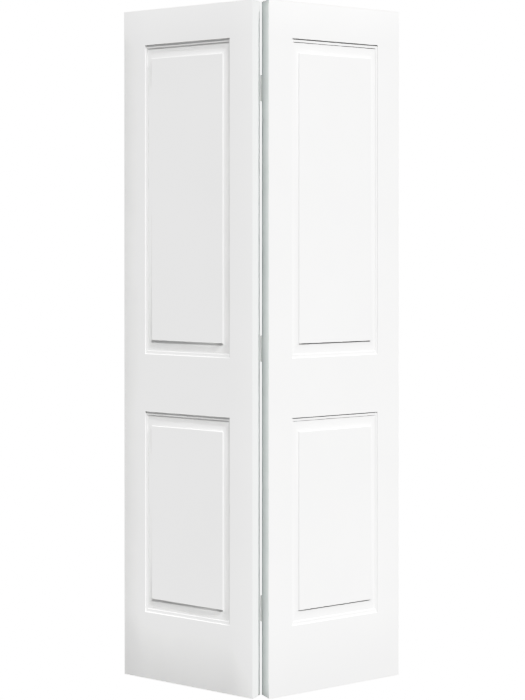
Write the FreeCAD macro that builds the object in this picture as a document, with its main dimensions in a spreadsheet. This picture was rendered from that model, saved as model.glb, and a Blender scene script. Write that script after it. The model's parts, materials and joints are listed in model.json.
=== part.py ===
import FreeCAD, Part
import math
import os

import Sketcher
from FreeCAD import Placement, Rotation, Vector

# A bifold closet door: two hollow-core leaves with moulded two-panel skins, hinged to each other
# on their backs and standing part folded, with the joint to the front.
#
# Every piece is drawn with the door closed flat. The hinge axis is the Z axis, X runs along the
# leaves, the backs face +Y and the bottoms lie on Z = 0. Each piece is then turned about the hinge
# axis with its leaf. The pivot leaf, on the -X side, hangs at the jamb; the lead leaf follows it.

SIZES = {
    # leaf, in millimetres
    "leaf_width": 451,
    "leaf_height": 2007,
    "leaf_thickness": 44.5,
    "skin_thickness": 3,
    "edge_round": 1.2,
    # flat margins round the two panels, and the lower panel
    "stile_flat": 76,
    "top_flat": 103,
    "mid_flat": 169,
    "bottom_flat": 198,
    "lower_panel": 607,
    # moulding between the flats and the raised fields
    "side_moulding": 27,
    "rail_moulding": 48,
    "groove_depth": 6.5,
    # frame and core inside the leaf
    "stile_width": 35,
    "top_rail_height": 60,
    "mid_rail_height": 110,
    "bottom_rail_height": 90,
    "cell_width": 190,
    "cell_wall": 2,
    # pivot and guide bores, on the mid-plane of the outer stiles
    "bore_radius": 4.75,
    "bore_depth": 45,
    "bore_inset": 20,
    # hinges
    "fold_angle": 58.8,
    "leaf_gap": 0.5,
    "hinge_height": 76,
    "hinge_inset": 250,
    "plate_width": 28,
    "plate_thickness": 1.6,
    "plate_corner": 5,
    "barrel_radius": 2.25,
    "barrel_clearance": 0.3,
    "knuckle_gap": 0.3,
    "pin_radius": 1.1,
    "pin_clearance": 0.05,
    "pin_head_radius": 1.9,
    "pin_head_height": 1.2,
    # screws
    "screw_spacing": 46,
    "screw_inset": 16,
    "screw_head_radius": 3.3,
    "screw_shank_radius": 1.7,
    "screw_length": 22,
}

KNUCKLES = 3
CELL_CORNERS = 6
HEAD_SIDES, SHANK_SIDES = 12, 6  # screws are drawn with flats, in holes to match
SAME = 0.01  # places nearer than this, in millimetres, count as one

# The moulding's face, from the flat inwards: each curve's poles as shares of the moulding's width
# and of the groove's depth. Two poles are a straight stretch, and a rounder one is pressed in facets.
FACETS = 2
FACE_CURVES = (
    ((0.000, 0.00), (0.020, 0.00)),
    ((0.020, 0.00), (0.034, 0.00), (0.042, 0.04), (0.044, 0.13)),  # quirk
    ((0.044, 0.13), (0.052, 0.46)),
    ((0.052, 0.46), (0.054, 0.51), (0.060, 0.53), (0.072, 0.53)),
    ((0.072, 0.53), (0.222, 0.55)),  # fillet
    ((0.222, 0.55), (0.238, 0.55), (0.243, 0.59), (0.245, 0.66)),  # ogee
    ((0.245, 0.66), (0.253, 0.84)),
    ((0.253, 0.84), (0.256, 0.90), (0.264, 0.92), (0.280, 0.925)),
    ((0.280, 0.925), (0.550, 1.00)),  # floor of the groove
    ((0.550, 1.00), (0.912, 0.50)),  # bevel
    ((0.912, 0.50), (0.922, 0.10)),  # wall of the raised field
    ((0.922, 0.10), (0.925, 0.03), (0.933, 0.00), (0.950, 0.00)),  # its rounded edge
    ((0.950, 0.00), (1.000, 0.00)),
)
# The same on the hidden side, where the pressed board follows the face less sharply.
BACK_POINTS = (
    (0.000, 0.00), (0.012, 0.52), (0.200, 0.56), (0.230, 0.92),
    (0.550, 1.00), (0.900, 0.53), (0.965, 0.00), (1.000, 0.00),
)

doc = FreeCAD.newDocument("bifold_door")
sheet = doc.addObject("Spreadsheet::Sheet", "sizes")
for row, (alias, number) in enumerate(SIZES.items(), start=1):
    sheet.set(f"A{row}", alias)
    sheet.set(f"B{row}", str(number))
    sheet.setAlias(f"B{row}", alias)
doc.recompute()


class Size:
    """A length or angle with the expression that gives it from the sheet."""

    def __init__(self, value, text):
        self.value = value
        self.text = text

    def join(self, other, sign, result):
        return Size(result(self.value, as_size(other).value), f"({self.text} {sign} {as_size(other).text})")

    def __add__(self, other):
        return self.join(other, "+", lambda a, b: a + b)

    def __sub__(self, other):
        return self.join(other, "-", lambda a, b: a - b)

    def __mul__(self, other):
        return self.join(other, "*", lambda a, b: a * b)

    def __truediv__(self, other):
        return self.join(other, "/", lambda a, b: a / b)

    def __neg__(self):
        return self * -1


def as_size(number):
    return number if isinstance(number, Size) else Size(number, f"({number})")


def size(alias):
    return Size(sheet.get(alias), f"sizes.{alias}")


def bind(thing, path, amount):
    """Ties one property of a document object to the sheet."""
    thing.setExpression(path, as_size(amount).text)


W, H, T = size("leaf_width"), size("leaf_height"), size("leaf_thickness")
SKIN = size("skin_thickness")
NEAR = size("leaf_gap") / 2  # leaf's near edge, from the hinge axis
FAR = NEAR + W
BACK = size("barrel_radius") + size("barrel_clearance")  # back face, in front of the hinge axis
FRONT = BACK + T
PIVOT, LEAD = "pivot", "lead"

# heights of the panels' outlines
LOWER_PANEL = (size("bottom_flat"), size("lower_panel"))
UPPER_START = size("bottom_flat") + size("lower_panel") + size("mid_flat")
UPPER_PANEL = (UPPER_START, H - size("top_flat") - UPPER_START)
PANELS = {"lower": LOWER_PANEL, "upper": UPPER_PANEL}
PANEL_WIDTH = W - size("stile_flat") * 2

# the frame behind the flats: foot and height of each rail
STILE = size("stile_width")
BOTTOM_RAIL = (as_size(0), size("bottom_rail_height"))
MID_RAIL = (UPPER_START - size("mid_flat") / 2 - size("mid_rail_height") / 2, size("mid_rail_height"))
TOP_RAIL = (H - size("top_rail_height"), size("top_rail_height"))


def along(leaf, start, length):
    """The low X of a stretch that starts at a distance from the hinge axis on one leaf."""
    return start if leaf == LEAD else -(start + length)


# ---------------------------------------------------------------- sketches and boards

def plane(body, role):
    return next(item for item in body.Origin.OriginFeatures if item.Role == role)


def sketch_on(body, name, role, offset=0):
    """A sketch on one of the body's own origin planes, moved along the plane's normal."""
    sketch = body.newObject("Sketcher::SketchObject", name)
    sketch.AttachmentSupport = (plane(body, role), [""])
    sketch.MapMode = "FlatFace"
    bind(sketch, "AttachmentOffset.Base.z", offset)
    return sketch


def constrain(sketch, kind, *parts):
    """Adds one constraint; a size at the end is bound to the sheet."""
    if not isinstance(parts[-1], Size):
        sketch.addConstraint(Sketcher.Constraint(kind, *parts))
        return
    index = sketch.addConstraint(Sketcher.Constraint(kind, *parts[:-1], parts[-1].value))
    bind(sketch, f"Constraints[{index}]", parts[-1])


def rectangle(sketch, x, y, width, height):
    """A rectangle from its low corner."""
    x, y, width, height = (as_size(item) for item in (x, y, width, height))
    left, low = x.value, y.value
    right, high = left + width.value, low + height.value
    corners = [Vector(left, low, 0), Vector(right, low, 0), Vector(right, high, 0), Vector(left, high, 0)]
    ends = corners[1:] + corners[:1]
    lines = [sketch.addGeometry(Part.LineSegment(a, b), False) for a, b in zip(corners, ends)]
    for line, following in zip(lines, lines[1:] + lines[:1]):
        constrain(sketch, "Coincident", line, 2, following, 1)
    for line, kind in zip(lines, ("Horizontal", "Vertical", "Horizontal", "Vertical")):
        constrain(sketch, kind, line)
    constrain(sketch, "DistanceX", -1, 1, lines[0], 1, x)
    constrain(sketch, "DistanceY", -1, 1, lines[0], 1, y)
    constrain(sketch, "DistanceX", lines[0], 1, lines[0], 2, width)
    constrain(sketch, "DistanceY", lines[1], 1, lines[1], 2, height)


def circle(sketch, x, y, radius):
    x, y = as_size(x), as_size(y)
    ring = sketch.addGeometry(Part.Circle(Vector(x.value, y.value, 0), Vector(0, 0, 1), radius.value), False)
    constrain(sketch, "DistanceX", -1, 1, ring, 3, x)
    constrain(sketch, "DistanceY", -1, 1, ring, 3, y)
    constrain(sketch, "Radius", ring, radius)


def pad(body, sketch, length, midplane=False):
    feature = body.newObject("PartDesign::Pad", f"{sketch.Name}_pad")
    feature.Profile = sketch
    feature.Midplane = midplane
    bind(feature, "Length", length)
    return feature


def pocket(body, sketch, length, up=False, midplane=False):
    """Cuts a sketch against its normal, along it, or half each way."""
    feature = body.newObject("PartDesign::Pocket", f"{sketch.Name}_pocket")
    feature.Profile = sketch
    feature.Reversed = up
    feature.Midplane = midplane
    bind(feature, "Length", length)


def board(name, leaf, start, width, low, height, back, depth):
    """A flat board on one leaf, from its distance to the hinge axis, its foot and its back face."""
    body = doc.addObject("PartDesign::Body", name)
    outline = sketch_on(body, f"{name}_outline", "XZ_Plane", back)
    rectangle(outline, along(leaf, start, width), low, width, height)
    pad(body, outline, depth)
    return body


# ---------------------------------------------------------------- moulded skins

def moulding_section(width):
    """The pressed board across the moulding: X inwards from the flat, Y into the leaf."""
    groove = size("groove_depth").value
    face = [Vector(0, 0, 0)]
    for poles in FACE_CURVES:
        curve = Part.BezierCurve()
        curve.setPoles([Vector(across * width, depth * groove, 0) for across, depth in poles])
        face += curve.discretize(2 if len(poles) == 2 else FACETS + 1)[1:]
    back = [Vector(across * width, depth * groove + SKIN.value, 0) for across, depth in BACK_POINTS]
    return Part.Face(Part.makePolygon(face + back[::-1] + face[:1]))


def moulding_frame(width, height):
    """The moulding round one panel, centred on the origin, its face at Y = 0 and its groove in +Y."""
    side, rail = size("side_moulding").value, size("rail_moulding").value
    half, tall = width / 2, height / 2
    reach = Vector(0, size("groove_depth").value + SKIN.value, 0)

    def mitred(bar, corners):
        outline = Part.Face(Part.makePolygon([Vector(x, 0, z) for x, z in corners + corners[:1]]))
        return bar.common(outline.extrude(reach))

    upright = moulding_section(side)
    upright.translate(Vector(-half, 0, -tall))
    left = mitred(
        upright.extrude(Vector(0, 0, height)),
        [(-half, -tall), (-half + side, -tall + rail), (-half + side, tall - rail), (-half, tall)],
    )
    level = moulding_section(rail)
    level.rotate(Vector(0, 0, 0), Vector(0, 1, 0), -90)
    level.translate(Vector(-half, 0, -tall))
    bottom = mitred(
        level.extrude(Vector(width, 0, 0)),
        [(-half, -tall), (half, -tall), (half - side, -tall + rail), (-half + side, -tall + rail)],
    )
    right = left.mirror(Vector(0, 0, 0), Vector(1, 0, 0))
    top = bottom.mirror(Vector(0, 0, 0), Vector(0, 0, 1))
    return left.fuse([bottom, right, top])


def skin_sheet(name, leaf, back, outer):
    """The flat of a skin, open at both panels, with its two long outer edges eased."""
    body = doc.addObject("PartDesign::Body", f"{name}_flat")
    outline = sketch_on(body, f"{name}_outline", "XZ_Plane", back)
    rectangle(outline, along(leaf, NEAR, W), 0, W, H)
    for low, height in PANELS.values():
        start = NEAR + size("stile_flat")
        rectangle(outline, along(leaf, start, PANEL_WIDTH), low, PANEL_WIDTH, height)
    flat = pad(body, outline, SKIN)
    doc.recompute()
    reach = flat.Shape.BoundBox
    face = -outer.value
    edges = []
    for number, edge in enumerate(flat.Shape.Edges, start=1):
        box = edge.BoundBox
        full_height = abs(box.ZLength - reach.ZLength) < SAME
        at_side = min(abs(box.XMin - reach.XMin), abs(box.XMax - reach.XMax)) < SAME
        if full_height and at_side and abs(box.YMin - face) < SAME:
            edges.append(f"Edge{number}")
    ease = body.newObject("PartDesign::Fillet", f"{name}_ease")
    ease.Base = (flat, edges)
    bind(ease, "Radius", size("edge_round"))
    return body


def skin(name, leaf, is_front):
    """A pressed skin of even thickness: flat margins, two moulding frames and two raised fields."""
    outer = FRONT if is_front else BACK
    inner_back = FRONT - SKIN if is_front else BACK
    pieces = [skin_sheet(name, leaf, inner_back, outer)]
    centre = along(leaf, NEAR, W) + W / 2
    field_width = PANEL_WIDTH - size("side_moulding") * 2
    for panel, (low, height) in PANELS.items():
        frame = doc.addObject("Part::Feature", f"{name}_{panel}_moulding")
        frame.Shape = moulding_frame(PANEL_WIDTH.value, height.value)
        turn = Rotation(Vector(0, 0, 1), 0 if is_front else 180)
        frame.Placement = Placement(Vector(centre.value, -outer.value, (low + height / 2).value), turn)
        field = doc.addObject("Part::Box", f"{name}_{panel}_field")
        bind(field, "Length", field_width)
        bind(field, "Width", SKIN)
        bind(field, "Height", height - size("rail_moulding") * 2)
        bind(field, "Placement.Base.x", centre - field_width / 2)
        bind(field, "Placement.Base.y", -(inner_back + SKIN))
        bind(field, "Placement.Base.z", low + size("rail_moulding"))
        pieces += [frame, field]
    whole = doc.addObject("Part::MultiFuse", f"{name}_pressed")
    whole.Shapes = pieces
    whole.Refine = True
    return whole


# ---------------------------------------------------------------- honeycomb cores

def crush(body, name, leaf, panel, offset, up):
    """Crushes a core where the moulding of one skin reaches in."""
    low, height = PANELS[panel]
    start = NEAR + size("stile_flat")
    side, rail = size("side_moulding"), size("rail_moulding")
    field_width, field_height = PANEL_WIDTH - side * 2, height - rail * 2
    ring = sketch_on(body, name, "XZ_Plane", offset)
    rectangle(ring, along(leaf, start, PANEL_WIDTH), low, PANEL_WIDTH, height)
    rectangle(ring, along(leaf, start + side, field_width), low + rail, field_width, field_height)
    pocket(body, ring, size("groove_depth"), up=up)


def cell_centres(width, height):
    """Centres of the cells in offset rows that cover an outline, from the outline's own centre."""
    pitch = size("cell_width").value + size("cell_wall").value
    rise = pitch * math.sqrt(3) / 2
    columns, rows = math.ceil(width / pitch / 2) + 1, math.ceil(height / rise / 2) + 1
    for row in range(-rows, rows + 1):
        for column in range(-columns, columns + 1):
            yield (column + row % 2 / 2) * pitch, row * rise


def cells(middle_x, middle_z, width, height):
    """The hollows of the honeycomb, right through the leaf, clipped to an outline."""
    reach = size("cell_width").value / math.sqrt(3)  # from a cell's centre to its corners
    angles = [(corner + 0.5) * math.tau / CELL_CORNERS for corner in range(CELL_CORNERS + 1)]
    low = Vector(middle_x - width / 2, -FRONT.value, middle_z - height / 2)
    room = Part.makeBox(width, FRONT.value, height, low)
    hollows = []
    for x, z in cell_centres(width, height):
        if abs(x) > width / 2 + reach or abs(z) > height / 2 + reach:
            continue
        middle = Vector(middle_x + x, 0, middle_z + z)
        ring = [middle + Vector(math.cos(angle), 0, math.sin(angle)) * reach for angle in angles]
        cell = Part.Face(Part.makePolygon(ring)).extrude(Vector(0, -FRONT.value, 0))
        hollows += cell.common(room).Solids
    return Part.makeCompound(hollows)


def core(name, leaf, low, height, panel):
    """Expanded cardboard honeycomb that fills the frame, crushed where the mouldings reach in."""
    start, width = NEAR + STILE, W - STILE * 2
    body = board(f"{name}_slab", leaf, start, width, low, height, BACK + SKIN, T - SKIN * 2)
    crush(body, f"{name}_back_crush", leaf, panel, BACK + SKIN, True)
    crush(body, f"{name}_front_crush", leaf, panel, FRONT - SKIN, False)
    # the cells stop a wall's thickness inside the outline, so a border strip ties the comb together
    border = size("cell_wall").value * 2
    hollows = doc.addObject("Part::Feature", f"{name}_cells")
    hollows.Shape = cells(
        (along(leaf, start, width) + width / 2).value, (low + height / 2).value,
        width.value - border, height.value - border,
    )
    whole = doc.addObject("Part::Cut", f"{name}_comb")
    whole.Base = body
    whole.Tool = hollows
    return whole


# ---------------------------------------------------------------- hinges

HINGE_HEIGHTS = {
    "bottom": size("hinge_inset"),
    "middle": H / 2,
    "top": H - size("hinge_inset"),
}
HINGE = size("hinge_height")
BARREL = size("barrel_radius")
BARREL_ROOM = BARREL + size("barrel_clearance")
PLATE = size("plate_thickness")
PLATE_FACE = BACK - PLATE  # plate's outer face, in front of the hinge axis
SCREW_HEIGHTS = (-size("screw_spacing") / 2, size("screw_spacing") / 2)


def flats(sides, radius, depth):
    """The closed outline of a screw with flats, at a depth below its plate's outer face."""
    angles = [corner * math.tau / sides for corner in range(sides + 1)]
    return [Vector(math.cos(angle) * radius, -depth, math.sin(angle) * radius) for angle in angles]


def screws(name, leaf, hinge_middles):
    """The countersunk screws of one leaf's hinges, as separate solids."""
    head, shank = size("screw_head_radius").value, size("screw_shank_radius").value
    sunk, length = PLATE.value, size("screw_length").value
    rim, neck = flats(HEAD_SIDES, head, 0), flats(HEAD_SIDES, shank, sunk)
    sides = [[a, b, c, d, a] for a, b, c, d in zip(rim, rim[1:], neck[1:], neck)]
    faces = [Part.Face(Part.makePolygon(outline)) for outline in (*sides, rim, neck)]
    thread = Part.Face(Part.makePolygon(flats(SHANK_SIDES, shank, sunk)))
    screw = Part.Solid(Part.Shell(faces)).fuse(thread.extrude(Vector(0, sunk - length, 0)))
    x = along(leaf, size("screw_inset"), as_size(0)).value
    copies = [
        screw.translated(Vector(x, -PLATE_FACE.value, (middle + height).value))
        for middle in hinge_middles
        for height in SCREW_HEIGHTS
    ]
    group = doc.addObject("Part::Feature", name)
    group.Shape = Part.makeCompound(copies)
    return group


def cut(name, base, tool):
    whole = doc.addObject("Part::Cut", name)
    whole.Base = base
    whole.Tool = tool
    whole.Refine = True
    return whole


def knuckle_spans(leaf):
    """Foot and height of the stretches of barrel that belong to one leaf, from the hinge's middle."""
    pitch = (HINGE + size("knuckle_gap")) / KNUCKLES
    first = 0 if leaf == PIVOT else 1
    for number in range(first, KNUCKLES, 2):
        yield pitch * number - HINGE / 2, pitch - size("knuckle_gap")


def hinge_plate(name, leaf):
    """A plate on the leaf's back, rolled into every other knuckle of the barrel."""
    other = LEAD if leaf == PIVOT else PIVOT
    body = doc.addObject("PartDesign::Body", name)
    barrel = sketch_on(body, f"{name}_barrel", "XY_Plane")
    circle(barrel, 0, 0, BARREL)
    pad(body, barrel, HINGE, midplane=True)
    flat = sketch_on(body, f"{name}_flat", "XZ_Plane", PLATE_FACE)
    width = size("plate_width")
    rectangle(flat, along(leaf, as_size(0), width), -HINGE / 2, width, HINGE)
    square = pad(body, flat, PLATE)
    doc.recompute()
    far = along(leaf, width, as_size(0)).value
    corners = [
        f"Edge{number}"
        for number, edge in enumerate(square.Shape.Edges, start=1)
        if abs(edge.CenterOfMass.x - far) < SAME and edge.BoundBox.ZLength < SAME
    ]
    ease = body.newObject("PartDesign::Fillet", f"{name}_corners")
    ease.Base = (square, corners)
    bind(ease, "Radius", size("plate_corner"))
    # the other plate's knuckles, with a running gap above and below each
    gap = size("knuckle_gap")
    notches = sketch_on(body, f"{name}_notches", "XZ_Plane")
    for foot, height in knuckle_spans(other):
        rectangle(notches, -BARREL_ROOM, foot - gap, BARREL_ROOM * 2, height + gap * 2)
    pocket(body, notches, BARREL_ROOM * 4, midplane=True)
    bore = sketch_on(body, f"{name}_bore", "XY_Plane")
    clearance = as_size(0) if leaf == PIVOT else size("pin_clearance")
    circle(bore, 0, 0, size("pin_radius") + clearance)
    pocket(body, bore, HINGE * 2, midplane=True)
    return cut(f"{name}_drilled", body, screws(f"{name}_holes", leaf, [as_size(0)]))


def hinge_pin(name):
    """A plain pin with a button head on the top knuckle."""
    body = doc.addObject("PartDesign::Body", name)
    shank = sketch_on(body, f"{name}_shank", "XY_Plane")
    circle(shank, 0, 0, size("pin_radius"))
    pad(body, shank, HINGE, midplane=True)
    head = sketch_on(body, f"{name}_head", "XY_Plane", HINGE / 2)
    circle(head, 0, 0, size("pin_head_radius"))
    pad(body, head, size("pin_head_height"))
    return body


# ---------------------------------------------------------------- leaves

nodes = {}


def leaf_board(leaf, label, start, width, low, height):
    return board(f"{leaf}_{label}_board", leaf, start, width, low, height, BACK + SKIN, T - SKIN * 2)


def bored_stile(leaf, both_ends):
    """The stile away from the joint, bored for the pins that hang and guide the door."""
    stile = leaf_board(leaf, "outer_stile", FAR - STILE, STILE, as_size(0), H)
    x = along(leaf, FAR - size("bore_inset"), as_size(0))
    middle = -(BACK + T / 2)
    ends = [("top", H, False)] + ([("bottom", as_size(0), True)] if both_ends else [])
    for label, height, up in ends:
        mouth = sketch_on(stile, f"{leaf}_{label}_bore", "XY_Plane", height)
        circle(mouth, x, middle, size("bore_radius"))
        pocket(stile, mouth, size("bore_depth"), up=up)
    return stile


for leaf in (PIVOT, LEAD):
    holes = screws(f"{leaf}_screw_holes", leaf, HINGE_HEIGHTS.values())
    nodes[f"{leaf}_front_skin"] = skin(f"{leaf}_front_skin", leaf, True)
    nodes[f"{leaf}_back_skin"] = cut(f"{leaf}_back_skin_cut", skin(f"{leaf}_back_skin", leaf, False), holes)
    hinge_stile = leaf_board(leaf, "hinge_stile", NEAR, STILE, as_size(0), H)
    nodes[f"{leaf}_hinge_stile"] = cut(f"{leaf}_hinge_stile_cut", hinge_stile, holes)
    nodes[f"{leaf}_outer_stile"] = bored_stile(leaf, both_ends=leaf == PIVOT)
    for rail, (low, height) in (("top", TOP_RAIL), ("mid", MID_RAIL), ("bottom", BOTTOM_RAIL)):
        rail_board = leaf_board(leaf, f"{rail}_rail", NEAR + STILE, W - STILE * 2, low, height)
        nodes[f"{leaf}_{rail}_rail"] = rail_board
    for panel, below, above in (("lower", BOTTOM_RAIL, MID_RAIL), ("upper", MID_RAIL, TOP_RAIL)):
        low = below[0] + below[1]
        nodes[f"{leaf}_{panel}_core"] = core(f"{leaf}_{panel}_core", leaf, low, above[0] - low, panel)
    nodes[f"{leaf}_hinge_screws"] = screws(f"{leaf}_screw_group", leaf, HINGE_HEIGHTS.values())

hinge_rise = {}
for hinge, middle in HINGE_HEIGHTS.items():
    for leaf in (PIVOT, LEAD):
        nodes[f"{hinge}_hinge_{leaf}_plate"] = hinge_plate(f"{hinge}_{leaf}_plate_body", leaf)
        hinge_rise[f"{hinge}_hinge_{leaf}_plate"] = middle
    nodes[f"{hinge}_hinge_pin"] = hinge_pin(f"{hinge}_pin_body")
    hinge_rise[f"{hinge}_hinge_pin"] = middle

# ---------------------------------------------------------------- the standing door

half_fold = math.radians(size("fold_angle").value) / 2
front_reach = NEAR.value * math.sin(half_fold) - FRONT.value * math.cos(half_fold)
back_reach = FAR.value * math.sin(half_fold) - BACK.value * math.cos(half_fold)
axis_y = -(front_reach + back_reach) / 2

for name, piece in nodes.items():
    piece.Label = name
    turn = half_fold if name.startswith(LEAD) or f"_{LEAD}_" in name else -half_fold
    rise = hinge_rise[name].value if name in hinge_rise else 0
    piece.Placement = Placement(Vector(0, axis_y, rise), Rotation(Vector(0, 0, 1), math.degrees(turn)))

doc.recompute()

failed = [item.Name for item in doc.Objects if {"Invalid", "Error"} & set(item.State)]
failed += [name for name, piece in nodes.items() if piece.Shape.isNull() or not piece.Shape.isValid()]
# a cut that points away from the solid takes nothing off, and reports no error
for item in doc.Objects:
    bases = {"PartDesign::Pocket": "BaseFeature", "Part::Cut": "Base"}
    base = getattr(item, bases[item.TypeId]) if item.TypeId in bases else None
    if base and item.Shape.Volume >= base.Shape.Volume:
        failed.append(item.Name)
if failed:
    raise RuntimeError(f"these did not build: {failed}")

os.makedirs("parts", exist_ok=True)
for name, piece in nodes.items():
    piece.Shape.exportStep(f"parts/{name}.step")
print(f"{len(nodes)} nodes; hinge axis at y = {axis_y:.3f} mm")
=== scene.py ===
"""A bifold closet door: two primed, moulded leaves on three hinges, standing part folded."""

import json
import math

import bmesh
import bpy
from mathutils import Matrix, Vector
from mathutils.geometry import interpolate_bezier

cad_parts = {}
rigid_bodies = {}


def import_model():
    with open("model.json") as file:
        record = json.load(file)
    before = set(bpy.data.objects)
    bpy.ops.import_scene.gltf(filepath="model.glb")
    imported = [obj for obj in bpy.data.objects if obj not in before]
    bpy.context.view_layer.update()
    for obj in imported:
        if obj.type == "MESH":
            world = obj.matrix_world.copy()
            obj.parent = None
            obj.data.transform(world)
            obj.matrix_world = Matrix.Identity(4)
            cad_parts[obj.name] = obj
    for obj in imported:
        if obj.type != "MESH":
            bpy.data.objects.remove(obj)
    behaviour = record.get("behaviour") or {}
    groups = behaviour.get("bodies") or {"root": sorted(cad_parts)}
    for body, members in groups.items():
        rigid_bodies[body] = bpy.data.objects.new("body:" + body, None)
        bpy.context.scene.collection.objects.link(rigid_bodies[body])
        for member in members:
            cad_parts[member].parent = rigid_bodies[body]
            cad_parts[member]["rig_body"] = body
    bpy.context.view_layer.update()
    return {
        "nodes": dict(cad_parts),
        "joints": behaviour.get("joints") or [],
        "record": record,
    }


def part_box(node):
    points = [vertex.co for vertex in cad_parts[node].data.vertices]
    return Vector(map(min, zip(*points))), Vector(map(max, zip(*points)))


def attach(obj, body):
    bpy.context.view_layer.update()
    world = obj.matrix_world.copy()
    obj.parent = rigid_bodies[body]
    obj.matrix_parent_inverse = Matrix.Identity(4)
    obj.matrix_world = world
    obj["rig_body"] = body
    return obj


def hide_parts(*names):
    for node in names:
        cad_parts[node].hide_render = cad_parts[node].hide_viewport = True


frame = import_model()

# ------------------------------------------------------------ sizes, in metres

PIVOT, LEAD = "pivot", "lead"
LEAVES = (PIVOT, LEAD)
SIDE = {PIVOT: -1, LEAD: 1}

FOLD = frame["joints"][0]
HINGE_AXIS = Vector(FOLD["pos_m"])
HALF_FOLD = -math.radians(FOLD["range_deg"][0]) / 2

SKIN = 0.003
EDGE_ROUND = 0.0012
END_ROUND = 0.0003
STILE_FLAT = 0.076
TOP_FLAT = 0.103
MID_FLAT = 0.169
BOTTOM_FLAT = 0.198
LOWER_PANEL = 0.607
SIDE_MOULDING = 0.027
RAIL_MOULDING = 0.048
GROOVE_DEPTH = 0.0065

# The face of the moulding, from the flat inwards, as shares of its width and of the groove's depth:
# each stretch is a cubic curve, or a straight line between two points.
FACE_PROFILE = (
    ((0.032, 0.00), (0.039, 0.00), (0.042, 0.03), (0.043, 0.09)),  # quirk
    ((0.043, 0.09), (0.052, 0.46)),
    ((0.052, 0.46), (0.054, 0.51), (0.060, 0.53), (0.072, 0.53)),
    ((0.072, 0.53), (0.222, 0.55)),  # fillet
    ((0.222, 0.55), (0.238, 0.55), (0.243, 0.59), (0.245, 0.66)),  # ogee
    ((0.245, 0.66), (0.253, 0.84)),
    ((0.253, 0.84), (0.256, 0.90), (0.264, 0.92), (0.280, 0.925)),
    ((0.280, 0.925), (0.550, 1.00)),  # floor of the groove
    ((0.550, 1.00), (0.902, 0.52)),  # bevel
    ((0.902, 0.52), (0.909, 0.51), (0.911, 0.49), (0.912, 0.46)),  # foot of the field's wall
    ((0.912, 0.46), (0.922, 0.07)),  # the field's wall
    ((0.922, 0.07), (0.923, 0.02), (0.925, 0.00), (0.929, 0.00)),  # the field's rounded edge
    ((0.929, 0.00), (1.000, 0.00)),
)
# The hidden side follows the face less sharply.
HIDDEN_PROFILE = (
    ((0.000, 0.00), (0.012, 0.52)),
    ((0.012, 0.52), (0.200, 0.56)),
    ((0.200, 0.56), (0.230, 0.92)),
    ((0.230, 0.92), (0.550, 1.00)),
    ((0.550, 1.00), (0.900, 0.53)),
    ((0.900, 0.53), (0.965, 0.00)),
    ((0.965, 0.00), (1.000, 0.00)),
)
CURVE_STEPS = 6
SAME_POINT = 1e-4  # points of the moulding nearer than this share of its width count as one
CORNER_STEPS = 4
CORNER_REACH = 1e-5


def leaf_of(node):
    return LEAD if node.startswith(LEAD) or f"_{LEAD}_" in node else PIVOT


def leaf_place(leaf):
    """Stands what is drawn on the flat lead leaf, hinge axis on Z, on either of the two leaves."""
    turn = Matrix.Rotation(SIDE[leaf] * HALF_FOLD, 4, "Z")
    return Matrix.Translation(HINGE_AXIS) @ turn @ Matrix.Diagonal((SIDE[leaf], 1, 1, 1))


def flat_box(node):
    """A CAD node's box on its own leaf, laid flat."""
    back = leaf_place(leaf_of(node)).inverted()
    points = [back @ vertex.co for vertex in frame["nodes"][node].data.vertices]
    low = Vector([min(point[axis] for point in points) for axis in range(3)])
    high = Vector([max(point[axis] for point in points) for axis in range(3)])
    return low, high


LEAF_LOW = Vector((flat_box("lead_front_skin")[0].x, flat_box("lead_front_skin")[0].y, 0))
LEAF_HIGH = flat_box("lead_back_skin")[1]
WIDTH, HEIGHT = LEAF_HIGH.x - LEAF_LOW.x, LEAF_HIGH.z
HINGE_HEIGHTS = {
    hinge: sum(corner.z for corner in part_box(f"{hinge}_hinge_lead_plate")) / 2
    for hinge in ("bottom", "middle", "top")
}
PANELS = (
    (BOTTOM_FLAT, BOTTOM_FLAT + LOWER_PANEL),
    (BOTTOM_FLAT + LOWER_PANEL + MID_FLAT, HEIGHT - TOP_FLAT),
)


# ------------------------------------------------------------ bench work

# Places nearer than this count as one: as a sheet is sawn or a shape turned, and where sheets are welded.
SAW_REACH = 1e-7
WELD_REACH = 1e-6
SMOOTH_BELOW = math.radians(35)


def everything(shape):
    return shape.verts[:] + shape.edges[:] + shape.faces[:]


def saw(shape, point, across):
    """Divides the sheet along a plane."""
    bmesh.ops.bisect_plane(shape, geom=everything(shape), dist=SAW_REACH, plane_co=point, plane_no=across)


def move(shape, matrix):
    bmesh.ops.transform(shape, matrix=matrix, verts=shape.verts[:])
    if matrix.determinant() < 0:
        bmesh.ops.reverse_faces(shape, faces=shape.faces[:])


def make_piece(name, shape, material):
    """Turns a finished shape into an object at the origin, smooth but for its sharp edges."""
    mesh = bpy.data.meshes.new(name)
    shape.to_mesh(mesh)
    shape.free()
    mesh.shade_smooth()
    mesh.set_sharp_from_angle(angle=SMOOTH_BELOW)
    mesh.materials.append(material)
    piece = bpy.data.objects.new(name, mesh)
    bpy.context.scene.collection.objects.link(piece)
    return piece


def fit_piece(piece, node):
    """Puts a piece in the place of a CAD node, on the same body."""
    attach(piece, frame["nodes"][node]["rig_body"])
    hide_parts(node)


# ------------------------------------------------------------ pressed skins

def profile_points(profile):
    """The moulding's points, from the flat inwards."""
    points = [Vector((0, 0, 0))]
    for poles in profile:
        poles = [Vector((*pole, 0)) for pole in poles]
        if len(poles) == 2:
            points += poles
        else:
            start, first, second, end = poles
            points += interpolate_bezier(start, first, second, end, CURVE_STEPS)
    kept = points[:1]
    for point in points[1:]:
        if (point - kept[-1]).length > SAME_POINT:
            kept.append(point)
    return kept


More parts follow.
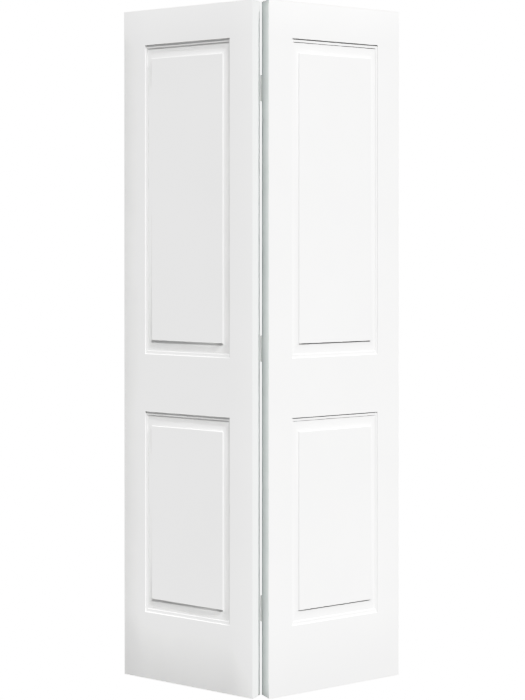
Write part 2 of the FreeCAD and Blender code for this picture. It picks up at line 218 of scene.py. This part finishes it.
def pressed_sheet(profile):
    """One side of a skin: flat on XY, X along the leaf, Y up it and Z out of the face."""
    sheet = bmesh.new()
    middle = Vector(((LEAF_LOW.x + LEAF_HIGH.x) / 2, HEIGHT / 2, 0))
    place = Matrix.Translation(middle) @ Matrix.Diagonal((WIDTH, HEIGHT, 1, 1))
    bmesh.ops.create_grid(sheet, x_segments=1, y_segments=1, size=0.5, matrix=place)
    left, right = LEAF_LOW.x + STILE_FLAT, LEAF_HIGH.x - STILE_FLAT
    for x in (left, right):
        saw(sheet, (x, 0, 0), (1, 0, 0))
    for low, high in PANELS:
        saw(sheet, (0, low, 0), (0, 1, 0))
        saw(sheet, (0, high, 0), (0, 1, 0))
    # the moulding is wider on the rails than on the stiles, so it is pressed with the height squeezed
    squeeze = SIDE_MOULDING / RAIL_MOULDING
    bmesh.ops.transform(sheet, matrix=Matrix.Diagonal((1, squeeze, 1, 1)), verts=sheet.verts[:])
    points = profile_points(profile)
    for face in sheet.faces[:]:
        centre = face.calc_center_median()
        in_panel = any(low < centre.y / squeeze < high for low, high in PANELS)
        if not (in_panel and left < centre.x < right):
            continue
        for outer, inner in zip(points, points[1:]):
            bmesh.ops.inset_individual(
                sheet, faces=[face], use_even_offset=True,
                thickness=(inner.x - outer.x) * SIDE_MOULDING, depth=(outer.y - inner.y) * GROOVE_DEPTH,
            )
    bmesh.ops.transform(sheet, matrix=Matrix.Diagonal((1, 1 / squeeze, 1, 1)), verts=sheet.verts[:])
    return sheet


def skin_shape(joint_round):
    """A skin on the flat lead leaf: its face, its rim and its hidden side."""
    skin = pressed_sheet(FACE_PROFILE)
    rim = bmesh.ops.extrude_edge_only(skin, edges=[edge for edge in skin.edges if edge.is_boundary])
    rim_vertices = [item for item in rim["geom"] if isinstance(item, bmesh.types.BMVert)]
    bmesh.ops.translate(skin, vec=(0, 0, -SKIN), verts=rim_vertices)
    hidden = pressed_sheet(HIDDEN_PROFILE)
    bmesh.ops.translate(hidden, vec=(0, 0, -SKIN), verts=hidden.verts[:])
    bmesh.ops.reverse_faces(hidden, faces=hidden.faces[:])
    hidden_mesh = bpy.data.meshes.new("hidden_side")
    hidden.to_mesh(hidden_mesh)
    hidden.free()
    skin.from_mesh(hidden_mesh)
    bpy.data.meshes.remove(hidden_mesh)
    bmesh.ops.remove_doubles(skin, verts=skin.verts[:], dist=WELD_REACH)
    bmesh.ops.recalc_face_normals(skin, faces=skin.faces[:])
    corners = (
        (joint_round, 0, LEAF_LOW.x), (EDGE_ROUND, 0, LEAF_HIGH.x), (END_ROUND, 1, 0), (END_ROUND, 1, HEIGHT),
    )
    for radius, across, place in corners:
        bmesh.ops.bevel(
            skin, geom=[edge for edge in skin.edges if is_corner(edge, across, place)], offset=radius,
            offset_type="OFFSET", segments=CORNER_STEPS, profile=0.5, affect="EDGES", material=-1,
            clamp_overlap=True,
        )
    return skin


def is_corner(edge, across, place):
    """Whether an edge of the face lies at a place across the skin, measured on X (0) or Y (1)."""
    return all(
        abs(end.co.z) < WELD_REACH and abs(end.co[across] - place) < CORNER_REACH for end in edge.verts
    )


def hang_skins():
    """A front and a back skin on each leaf, the back ones turned round."""
    paint = {leaf: primed_board(leaf) for leaf in LEAVES}
    for side, face_y, outwards, joint_round in (
        ("front", LEAF_LOW.y, 1, EDGE_ROUND), ("back", LEAF_HIGH.y, -1, END_ROUND),
    ):
        turn = Matrix.Diagonal((1, outwards, 1, 1)) @ Matrix.Rotation(math.pi / 2, 4, "X")
        upright = Matrix.Translation((0, face_y, 0)) @ turn
        for leaf in LEAVES:
            shape = skin_shape(joint_round)
            move(shape, upright)
            move(shape, leaf_place(leaf))
            piece = make_piece(f"{leaf}_{side}_pressed_skin", shape, paint[leaf])
            fit_piece(piece, f"{leaf}_{side}_skin")


# ------------------------------------------------------------ hinge pins and screws

TURNED_STEPS = 32
PIN_HEAD = 0.0012
PIN_HEAD_RADIUS = 0.0019
PIN_RADIUS = 0.0011
PIN_EASE = 0.0003
BUTTON_RIM = 0.35  # the height of the pin head's straight rim, as a share of the head's
BUTTON_STEP = 15  # degrees between two points of the head's round
SCREW_HEAD_RADIUS = 0.0033 * math.cos(math.pi / 12)  # inside the plate's twelve-sided sink
SCREW_ROOT_RADIUS = 0.0010
THREAD_RADIUS = 0.0017 * math.cos(math.pi / 6)  # inside the stile's six-sided hole
THREAD_PITCH = 0.0013
THREAD_START = 0.0045
SCREW_POINT = 0.0035
SINK = 0.0016
SCREW_SPREAD = 0.023
HEAD_CROWN = 0.0002
# The crown of a screw's head, from the middle outwards, as shares of its radius and of its drop.
CROWN_OUTLINE = ((0, 0), (0.5, 0.25), (0.85, 0.72), (1, 1))
HEAD_RIM = 0.0001
THREAD_FLANK = 0.3  # the width of a thread's flank, as a share of its pitch
RECESS_LENGTH, RECESS_WIDTH, RECESS_DEPTH = 0.0034, 0.00075, 0.0013
RECESS_TAPER = 0.45
HOME_TURN = 37  # how far each screw is turned past the one before it, in degrees
FIRST_TURN = {PIVOT: 20, LEAD: 0}


def turned(outline):
    """Turns an outline of radius and height round Z."""
    shape = bmesh.new()
    points = [shape.verts.new((radius, 0, height)) for radius, height in outline]
    lines = [shape.edges.new(pair) for pair in zip(points, points[1:])]
    bmesh.ops.spin(
        shape, geom=points + lines, cent=(0, 0, 0), axis=(0, 0, 1), angle=math.tau,
        steps=TURNED_STEPS, use_merge=True,
    )
    bmesh.ops.remove_doubles(shape, verts=shape.verts[:], dist=SAW_REACH)
    bmesh.ops.recalc_face_normals(shape, faces=shape.faces[:])
    return shape


def fit_pins(coating):
    """Plain pins, with a button head above the top knuckle."""
    for hinge in HINGE_HEIGHTS:
        node = f"{hinge}_hinge_pin"
        foot, top = (corner.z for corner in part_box(node))
        neck = top - PIN_HEAD
        outline = [(0, foot), (PIN_RADIUS - PIN_EASE, foot), (PIN_RADIUS, foot + PIN_EASE)]
        outline += [(PIN_RADIUS, neck), (PIN_HEAD_RADIUS, neck)]
        for angle in range(0, 90, BUTTON_STEP):
            rise = BUTTON_RIM + (1 - BUTTON_RIM) * math.sin(math.radians(angle))
            outline.append((PIN_HEAD_RADIUS * math.cos(math.radians(angle)), neck + PIN_HEAD * rise))
        outline.append((0, top))
        shape = turned(outline)
        move(shape, Matrix.Translation((HINGE_AXIS.x, HINGE_AXIS.y, 0)))
        fit_piece(make_piece(f"{hinge}_hinge_button_pin", shape, coating), node)


def recess_cutter(across):
    """A tapered slot on Z, along X or Y, for one arm pair of a cross recess."""
    cutter = bmesh.new()
    bmesh.ops.create_cube(cutter, size=1)
    arms = (RECESS_WIDTH, RECESS_LENGTH) if across else (RECESS_LENGTH, RECESS_WIDTH)
    bmesh.ops.scale(cutter, vec=(*arms, 2 * RECESS_DEPTH), verts=cutter.verts[:])
    low = [vertex for vertex in cutter.verts if vertex.co.z < 0]
    bmesh.ops.scale(cutter, vec=(RECESS_TAPER, RECESS_TAPER, 1), verts=low)
    return cutter


def cross_head_screw(length):
    """A countersunk screw, point down, its head's crown at the origin."""
    outline = [(SCREW_HEAD_RADIUS * out, -HEAD_CROWN * down) for out, down in CROWN_OUTLINE]
    outline += [(SCREW_HEAD_RADIUS, -HEAD_CROWN - HEAD_RIM), (THREAD_RADIUS, -SINK)]
    outline.append((THREAD_RADIUS, -THREAD_START))
    flank = THREAD_PITCH * THREAD_FLANK
    depth = THREAD_START
    while depth + THREAD_PITCH < length - SCREW_POINT:
        outline.append((SCREW_ROOT_RADIUS, -depth - flank))
        outline.append((SCREW_ROOT_RADIUS, -depth - THREAD_PITCH + flank))
        depth += THREAD_PITCH
        outline.append((THREAD_RADIUS, -depth))
    outline += [(SCREW_ROOT_RADIUS, -depth - flank), (0, -length)]
    screw = make_piece("screw_blank", turned(outline), None)
    for across in (False, True):
        cutter = make_piece(f"recess_cutter_{across}", recess_cutter(across), None)
        recess = screw.modifiers.new("recess", "BOOLEAN")
        recess.operation = "DIFFERENCE"
        recess.solver = "EXACT"
        recess.object = cutter
    bpy.context.view_layer.update()
    finished = bpy.data.meshes.new_from_object(screw.evaluated_get(bpy.context.evaluated_depsgraph_get()))
    for cut in [recess.object for recess in screw.modifiers]:
        bpy.data.objects.remove(cut)
    bpy.data.objects.remove(screw)
    return finished


def fit_screws(coating):
    """Cross-head screws in each leaf's plates, each turned home at its own angle."""
    for leaf in LEAVES:
        low, high = flat_box(f"{leaf}_hinge_screws")
        centre = (low.x + high.x) / 2
        screw = cross_head_screw(high.y - low.y)
        shape = bmesh.new()
        heights = [
            sum(corner.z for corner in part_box(f"{hinge}_hinge_{leaf}_plate")) / 2 + side * SCREW_SPREAD
            for hinge in HINGE_HEIGHTS for side in (-1, 1)
        ]
        for number, height in enumerate(heights):
            one = bmesh.new()
            one.from_mesh(screw)
            home = Matrix.Rotation(math.radians(HOME_TURN * number + FIRST_TURN[leaf]), 4, "Z")
            outwards = Matrix.Rotation(-math.pi / 2, 4, "X")
            move(one, Matrix.Translation((centre, high.y, height)) @ outwards @ home)
            move(one, leaf_place(leaf))
            placed = bpy.data.meshes.new("placed_screw")
            one.to_mesh(placed)
            one.free()
            shape.from_mesh(placed)
            bpy.data.meshes.remove(placed)
        bpy.data.meshes.remove(screw)
        screws = make_piece(f"{leaf}_cross_head_screws", shape, coating)
        fit_piece(screws, f"{leaf}_hinge_screws")


# ------------------------------------------------------------ finishes

class Finish:
    """A material under construction: a Principled shader and the nodes that feed it."""

    def __init__(self, name):
        self.material = bpy.data.materials.new(name)
        self.material.use_nodes = True
        self.tree = self.material.node_tree
        self.shader = self.tree.nodes["Principled BSDF"]
        self.place = self.add("ShaderNodeTexCoord").outputs["Object"]

    def plug(self, socket, value):
        """Links another node's output to a socket, or sets a plain value on it."""
        if isinstance(value, bpy.types.NodeSocket):
            self.tree.links.new(value, socket)
        else:
            socket.default_value = value

    def feed(self, socket, value):
        self.plug(self.shader.inputs[socket], value)

    def add(self, kind, inputs=None, **settings):
        node = self.tree.nodes.new(kind)
        for name, value in settings.items():
            setattr(node, name, value)
        for name, value in (inputs or {}).items():
            self.plug(node.inputs[name], value)
        return node

    def noise(self, scale, detail=2, place=None, roughness=0.5):
        inputs = {"Vector": place or self.place, "Scale": scale, "Detail": detail, "Roughness": roughness}
        return self.add("ShaderNodeTexNoise", inputs).outputs["Fac"]

    def spread(self, value, low, high, start=0.3, end=0.7):
        """Maps a pattern's middle values onto a range."""
        inputs = {"Value": value, "From Min": start, "From Max": end, "To Min": low, "To Max": high}
        return self.add("ShaderNodeMapRange", inputs).outputs["Result"]

    def blend(self, factor, first, second):
        """Mixes two colours; the node's sockets share their names, so they are picked by number."""
        node = self.add("ShaderNodeMix", data_type="RGBA")
        for socket, value in ((0, factor), (6, first), (7, second)):
            self.plug(node.inputs[socket], value)
        return node.outputs[2]

    def maths(self, operation, first, second=0.0):
        return self.add("ShaderNodeMath", {0: first, 1: second}, operation=operation).outputs[0]

    def vector_maths(self, operation, first, second):
        return self.add("ShaderNodeVectorMath", {0: first, 1: second}, operation=operation).outputs

    def bump(self, height, depth, under=None):
        """Raises a pattern by a depth in metres, over another bump where one is given."""
        inputs = {"Height": height, "Distance": depth, "Strength": 1.0}
        if under:
            inputs["Normal"] = under
        return self.add("ShaderNodeBump", inputs).outputs["Normal"]


WHITE = (0.83, 0.83, 0.825, 1)
WHITE_WORN = (0.80, 0.80, 0.795, 1)
HARDBOARD = (0.30, 0.19, 0.10, 1)
HARDBOARD_DARK = (0.21, 0.13, 0.07, 1)
PINE = (0.29, 0.19, 0.115, 1)
PINE_DARK = (0.215, 0.135, 0.078, 1)
# Painted shade on a leaf's joint edge, at its back and at its front: grey below the face's white, the lead
# leaf's much darker at the back, where the crease is in shade.
CREASE_SHADE_TONES = {
    PIVOT: ((0.68, 0.70, 0.69, 1), (0.70, 0.72, 0.71, 1)),
    LEAD: ((0.38, 0.405, 0.40, 1), (0.80, 0.83, 0.82, 1)),
}
COATING = (0.70, 0.70, 0.69, 1)
COATING_DULL = (0.62, 0.62, 0.61, 1)
CARDBOARD = (0.52, 0.36, 0.21, 1)
CARDBOARD_DARK = (0.42, 0.28, 0.16, 1)
END_DEPTH = 0.0004  # how deep the look of a cut face reaches into a piece
GRAIN_ALONG = 0.06  # how fast the grain changes along the wood, as a share of how fast it does across it


def at_ends(finish):
    """1 on a leaf's sawn top and bottom ends, 0 elsewhere."""
    height = finish.add("ShaderNodeSeparateXYZ", {"Vector": finish.place}).outputs["Z"]
    above = finish.maths("GREATER_THAN", height, HEIGHT - END_DEPTH)
    below = finish.maths("LESS_THAN", height, END_DEPTH)
    return finish.maths("MAXIMUM", above, below)


def primer_colour(finish):
    """White primer, a little uneven."""
    return finish.blend(finish.spread(finish.noise(4, 3), 0, 1), WHITE, WHITE_WORN)


def on_leaf(finish, leaf):
    """Where a point lies on a leaf: X from the hinge axis and Y from front to back."""
    from_hinge = finish.vector_maths("SUBTRACT", finish.place, HINGE_AXIS)["Vector"]
    turn = (0, 0, -SIDE[leaf] * HALF_FOLD)
    laid_flat = finish.add("ShaderNodeMapping", {"Vector": from_hinge, "Rotation": turn}).outputs["Vector"]
    place = finish.add("ShaderNodeSeparateXYZ", {"Vector": laid_flat}).outputs
    return finish.maths("MULTIPLY", place["X"], SIDE[leaf]), place["Y"]


def painted_crease_shade(finish, leaf):
    """Painted shade in the crease between the leaves: a grey joint edge, darker towards the back of the leaf.
    """
    # painted shade: grey tones stand in for the shade that falls deep in the crease
    back, front = CREASE_SHADE_TONES[leaf]
    forward = finish.spread(on_leaf(finish, leaf)[1], 0, 1, LEAF_HIGH.y, LEAF_LOW.y)
    uneven = finish.spread(finish.noise(9, 3), -0.05, 0.05)
    return finish.blend(finish.maths("ADD", forward, uneven), back, front)


def primer_bump(finish):
    """Sprayed primer: a fine orange peel over the slight waviness of a pressed board."""
    waves = finish.bump(finish.noise(14, 1), 0.00025)
    return finish.bump(finish.noise(650, 2), 0.000012, waves)


def primed_board(leaf):
    """White primer on hardboard, which shows brown where it is sawn, with painted crease shade on its joint
    edge.
    """
    finish = Finish(f"{leaf}_primed_hardboard")
    fibres = finish.blend(finish.noise(1400, 3), HARDBOARD, HARDBOARD_DARK)
    ends = at_ends(finish)
    at_joint = finish.maths("LESS_THAN", on_leaf(finish, leaf)[0], LEAF_LOW.x + END_DEPTH)
    # painted shade: the joint edge gets the grey of the shaded crease instead of white primer
    primer = finish.blend(at_joint, primer_colour(finish), painted_crease_shade(finish, leaf))
    finish.feed("Base Color", finish.blend(ends, primer, fibres))
    gloss = finish.spread(finish.noise(30, 2), 0.42, 0.52)
    finish.feed("Roughness", finish.maths("MAXIMUM", gloss, finish.maths("MULTIPLY", ends, 0.85)))
    finish.feed("Specular IOR Level", 0.35)
    finish.feed("Normal", primer_bump(finish))
    return finish.material


def pine_colour(finish, leaf):
    """Softwood with its growth rings along the leaf's height, crossed at its sawn ends."""
    along_grain = finish.add(
        "ShaderNodeMapping",
        {"Vector": finish.place, "Rotation": (0, 0, -SIDE[leaf] * HALF_FOLD), "Scale": (1, 1, GRAIN_ALONG)},
    ).outputs["Vector"]
    rings = finish.add(
        "ShaderNodeTexWave",
        {"Vector": along_grain, "Scale": 55, "Distortion": 5, "Detail": 2, "Detail Scale": 6},
        wave_type="RINGS", rings_direction="Z",
    ).outputs["Fac"]
    fine = finish.noise(900, 3, place=along_grain)
    grain = finish.maths("ADD", finish.maths("MULTIPLY", rings, 0.7), finish.maths("MULTIPLY", fine, 0.3))
    return finish.blend(grain, PINE, PINE_DARK)


def primed_stile(leaf, stile):
    """A stile: primed along its edge, with painted crease shade there on the hinge stile, raw pine at its
    ends and in its bores.
    """
    finish = Finish(f"{leaf}_{stile}_wood")
    flat = finish.vector_maths("MULTIPLY", finish.place, (1, 1, 0))["Vector"]
    raw = at_ends(finish)
    for mount in frame["record"]["mounts"]:
        if mount["kind"] == "bore":
            centre = (mount["pos_m"][0], mount["pos_m"][1], 0)
            away = finish.vector_maths("DISTANCE", flat, centre)["Value"]
            within = finish.maths("LESS_THAN", away, mount["dims"]["r_mm"] / 1000 + END_DEPTH)
            raw = finish.maths("MAXIMUM", raw, within)
    # painted shade: the hinge stile's edge in the crease is grey, darker towards the back
    primer = painted_crease_shade(finish, leaf) if stile == "hinge_stile" else primer_colour(finish)
    finish.feed("Base Color", finish.blend(raw, primer, pine_colour(finish, leaf)))
    finish.feed("Roughness", finish.spread(raw, 0.5, 0.75, 0, 1))
    finish.feed("Specular IOR Level", 0.35)
    finish.feed("Normal", primer_bump(finish))
    return finish.material


def raw_rail(leaf):
    """Planed pine, unpainted."""
    finish = Finish(f"{leaf}_rail_wood")
    finish.feed("Base Color", pine_colour(finish, leaf))
    finish.feed("Roughness", finish.spread(finish.noise(200, 3), 0.6, 0.8))
    finish.feed("Specular IOR Level", 0.3)
    finish.feed("Normal", finish.bump(finish.noise(1200, 3), 0.00005))
    return finish.material


def honeycomb_card():
    """Brown card with its fibres."""
    finish = Finish("honeycomb_card")
    finish.feed("Base Color", finish.blend(finish.noise(300, 4), CARDBOARD, CARDBOARD_DARK))
    finish.feed("Roughness", finish.spread(finish.noise(120, 2), 0.8, 0.92))
    finish.feed("Normal", finish.bump(finish.noise(2500, 3), 0.00004))
    return finish.material


def coated_steel(name):
    """Steel under a thin white coating, which lies a little uneven."""
    finish = Finish(name)
    finish.feed("Base Color", finish.blend(finish.spread(finish.noise(90, 4), 0, 1), COATING, COATING_DULL))
    finish.feed("Roughness", finish.spread(finish.noise(700, 2), 0.28, 0.40))
    finish.feed("Normal", finish.bump(finish.noise(1600, 2), 0.000015))
    return finish.material


def give(nodes, material):
    """Puts a material on CAD nodes that are shown as they are."""
    for node in nodes:
        slots = frame["nodes"][node].data.materials
        slots.clear()
        slots.append(material)


# ------------------------------------------------------------ the room

# Far softboxes: the compass angle from the front, to the right, the angle above the floor, the softness,
# all in degrees, and the strength.
SOFTBOXES = {
    "key": (8, 54, 6, 3.45),
    "right_key": (50, 48, 8, 4.8),
    "front_fill": (10, -8, 20, 0.35),
    "left_fill": (-62, 4, 60, 0.72),
    "back_key": (-160, 50, 8, 3.6),
    "back_fill": (150, 5, 20, 1.2),
}
ROOM_GLOW = 0.03

# The film's response: even up to the knee, and held back above it until it is white.
KNEE = 0.78
FILM_WHITE = 1.66

FLOOR_SIZE = 30
FLOOR_DROP = 0.0005

LENS = 69.37
FILM_WIDTH = 36
LENS_SHIFT = -0.145
CAMERA_PLACE = (0.0306, -3.9938, 1.3212)
CAMERA_TILT = math.radians(89.596)
CAMERA_TURN = 0.0067


def hang_softbox(name, azimuth, height, softness, strength):
    light = bpy.data.lights.new(name, "SUN")
    light.angle = math.radians(softness)
    light.energy = strength
    holder = bpy.data.objects.new(name, light)
    turn, rise = math.radians(azimuth), math.radians(height)
    towards = Vector((math.sin(turn) * math.cos(rise), -math.cos(turn) * math.cos(rise), math.sin(rise)))
    holder.rotation_euler = towards.to_track_quat("Z", "Y").to_euler()
    bpy.context.scene.collection.objects.link(holder)


def backdrop(tree, strength):
    """White light of one strength from all round."""
    light = tree.nodes.new("ShaderNodeBackground")
    light.inputs["Color"].default_value = (1, 1, 1, 1)
    light.inputs["Strength"].default_value = strength
    return light.outputs["Background"]


def light_room():
    """Softboxes in a dim room, which the camera sees as white."""
    for name, settings in SOFTBOXES.items():
        hang_softbox(name, *settings)
    world = bpy.data.worlds.new("studio")
    world.use_nodes = True
    tree = world.node_tree
    tree.nodes.remove(tree.nodes["Background"])
    path = tree.nodes.new("ShaderNodeLightPath")
    mix = tree.nodes.new("ShaderNodeMixShader")
    tree.links.new(path.outputs["Is Camera Ray"], mix.inputs["Fac"])
    tree.links.new(backdrop(tree, ROOM_GLOW), mix.inputs[1])
    tree.links.new(backdrop(tree, FILM_WHITE), mix.inputs[2])
    tree.links.new(mix.outputs["Shader"], tree.nodes["World Output"].inputs["Surface"])
    bpy.context.scene.world = world


def set_film():
    """A plain film with a shoulder, so that the light edges of the white door keep their tone."""
    view = bpy.context.scene.view_settings
    view.view_transform = "Standard"
    view.use_curve_mapping = True
    film = view.curve_mapping
    brightest = FILM_WHITE * 2
    film.clip_max_x = brightest
    curve = film.curves[3]  # the one for red, green and blue together
    curve.points[0].location = (0, 0)
    curve.points[1].location = (brightest, 1)
    curve.points.new(KNEE, KNEE)
    curve.points.new(FILM_WHITE, 1)
    for point in curve.points:
        point.handle_type = "VECTOR"
    film.update()


def lay_floor():
    """A white floor, lit as brightly as the room behind it."""
    shape = bmesh.new()
    bmesh.ops.create_grid(shape, x_segments=1, y_segments=1, size=FLOOR_SIZE)
    bmesh.ops.translate(shape, vec=(0, 0, -FLOOR_DROP), verts=shape.verts[:])
    finish = Finish("studio_floor")
    finish.feed("Base Color", (0, 0, 0, 1))
    finish.feed("Roughness", 1.0)
    finish.feed("Specular IOR Level", 0.0)
    finish.feed("Emission Color", (1, 1, 1, 1))
    finish.feed("Emission Strength", FILM_WHITE)
    floor = make_piece("studio_floor", shape, finish.material)
    floor.visible_diffuse = False
    floor.visible_glossy = False
    floor.visible_shadow = False


def set_camera():
    """Eye height, a long lens, and a shift that keeps the uprights all but parallel."""
    lens = bpy.data.cameras.new("camera")
    lens.lens = LENS
    lens.sensor_width = FILM_WIDTH
    lens.shift_y = LENS_SHIFT
    camera = bpy.data.objects.new("camera", lens)
    camera.location = CAMERA_PLACE
    camera.rotation_euler = (CAMERA_TILT, 0, CAMERA_TURN)
    bpy.context.scene.collection.objects.link(camera)
    bpy.context.scene.camera = camera


set_camera()
set_film()
light_room()
lay_floor()

hang_skins()
for leaf in LEAVES:
    for stile in ("outer_stile", "hinge_stile"):
        give([f"{leaf}_{stile}"], primed_stile(leaf, stile))
    give([f"{leaf}_{rail}_rail" for rail in ("top", "mid", "bottom")], raw_rail(leaf))
give([f"{leaf}_{panel}_core" for leaf in LEAVES for panel in ("lower", "upper")], honeycomb_card())
hinge_coating = coated_steel("hinge_coating")
give([f"{hinge}_hinge_{leaf}_plate" for hinge in HINGE_HEIGHTS for leaf in LEAVES], hinge_coating)
fit_pins(hinge_coating)
fit_screws(coated_steel("screw_coating"))
